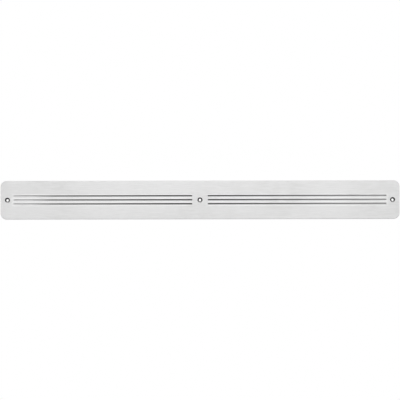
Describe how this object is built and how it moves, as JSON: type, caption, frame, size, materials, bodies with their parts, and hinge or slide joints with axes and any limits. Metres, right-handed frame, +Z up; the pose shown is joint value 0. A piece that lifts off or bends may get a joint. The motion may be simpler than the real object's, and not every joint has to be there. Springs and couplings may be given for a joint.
{
  "type": "magnetic knife rack",
  "caption": "Wall-mounted magnetic rack that holds knives flat against a grooved stainless steel face, fixed by screws through its countersunk holes.",
  "frame": {"origin": "where the axis of the middle wall screw meets the wall plane at the back of the rack", "axes": "+X along the rack to its right end seen from the front, +Y into the wall, +Z up; the holding face looks towards -Y"},
  "size_m": [0.5, 0.015, 0.0484],
  "materials": {
    "stainless": "light stainless sheet, fine grain along the rack, satin",
    "black_abs": "moulded black plastic, fine spark texture",
    "ferrite": "sintered hard ferrite, ground pole faces",
    "keeper_steel": "cold-rolled strip, bright zinc plated",
    "foam": "closed-cell foam tape",
    "spacer_steel": "turned stainless tube",
    "stud_steel": "copper-flashed weld stud",
    "zinc_plate": "bright zinc plate"
  },
  "bodies": {
    "root": {"front_cover": "stainless", "rear_tray": "black_abs", "spacer_left": "spacer_steel", "spacer_centre": "spacer_steel", "spacer_right": "spacer_steel", "magnet_left_1": "ferrite", "magnet_left_2": "ferrite", "magnet_left_3": "ferrite", "magnet_left_4": "ferrite", "magnet_left_5": "ferrite", "magnet_right_1": "ferrite", "magnet_right_2": "ferrite", "magnet_right_3": "ferrite", "magnet_right_4": "ferrite", "magnet_right_5": "ferrite", "keeper_left": "keeper_steel", "keeper_right": "keeper_steel", "foam_tape_left": "foam", "foam_tape_right": "foam", "cover_stud_top_left": "stud_steel", "cover_stud_top_right": "stud_steel", "cover_stud_bottom_left": "stud_steel", "cover_stud_bottom_right": "stud_steel", "stud_washer_top_left": "zinc_plate", "stud_washer_top_right": "zinc_plate", "stud_washer_bottom_left": "zinc_plate", "stud_washer_bottom_right": "zinc_plate", "stud_nut_top_left": "zinc_plate", "stud_nut_top_right": "zinc_plate", "stud_nut_bottom_left": "zinc_plate", "stud_nut_bottom_right": "zinc_plate"}
  },
  "joints": []
}
